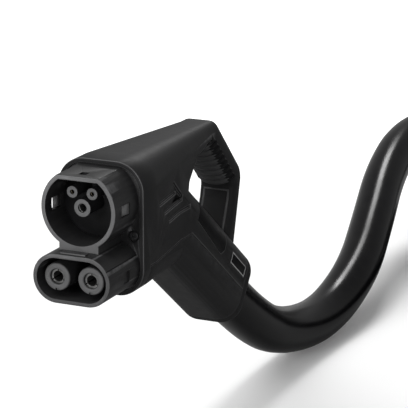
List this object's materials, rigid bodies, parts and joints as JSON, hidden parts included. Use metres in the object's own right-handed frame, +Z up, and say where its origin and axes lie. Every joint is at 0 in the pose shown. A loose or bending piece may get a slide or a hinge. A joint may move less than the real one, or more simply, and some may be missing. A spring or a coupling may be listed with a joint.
{
  "type": "ev charging plug",
  "caption": "High-power combined charging plug with a round and a flat shroud, slit socket contacts, a loop handle with a ribbed grip and a thick cable.",
  "frame": {"origin": "centre of the protective-earth contact's front face", "axes": "-Y is the mating direction, +Z up, +X to the right seen from the mating face"},
  "size_m": [0.5201, 1.0652, 0.2702],
  "materials": {
    "shell_plastic": "fine moulded grain",
    "frame_plastic": "fine moulded grain, darker than the shell",
    "carrier_plastic": "smooth",
    "grip_rubber": "soft matte",
    "inlay_gloss": "polished",
    "seal_rubber": "matte",
    "screw_steel": "black zinc",
    "contact_silver": "silver plated",
    "contact_brass": "plain",
    "copper_bar": "plain",
    "board_green": "solder mask",
    "conductor_sleeve": "smooth",
    "conductor_black": "smooth",
    "pe_sleeve": "smooth",
    "signal_sleeve": "smooth",
    "hose_blue": "smooth",
    "clamp_plastic": "glass filled",
    "cable_jacket": "satin"
  },
  "bodies": {
    "root": {"front_frame": "frame_plastic", "housing": "shell_plastic", "lower_shell": "shell_plastic", "grip_insert": "grip_rubber", "side_inlay": "inlay_gloss", "label_plate": "inlay_gloss", "cable_collar": "shell_plastic", "frame_screws": "screw_steel", "frame_seal": "seal_rubber", "contact_carrier": "carrier_plastic", "dc_guard_plus": "carrier_plastic", "dc_guard_minus": "carrier_plastic", "dc_contact_plus": "contact_silver", "dc_contact_minus": "contact_silver", "pe_contact": "contact_silver", "cp_contact": "contact_brass", "pp_contact": "contact_brass", "busbar_plus": "copper_bar", "busbar_minus": "copper_bar", "dc_conductor_plus": "conductor_sleeve", "dc_conductor_minus": "conductor_black", "pe_lead": "pe_sleeve", "signal_lead": "signal_sleeve", "sensor_board": "board_green", "coolant_manifold": "clamp_plastic", "coolant_hoses": "hose_blue", "clamp_lower": "clamp_plastic", "clamp_upper": "clamp_plastic", "cable_gland": "seal_rubber", "cable_run": "cable_jacket", "cable_coil": "cable_jacket", "cable_end_cap": "seal_rubber"}
  },
  "joints": []
}
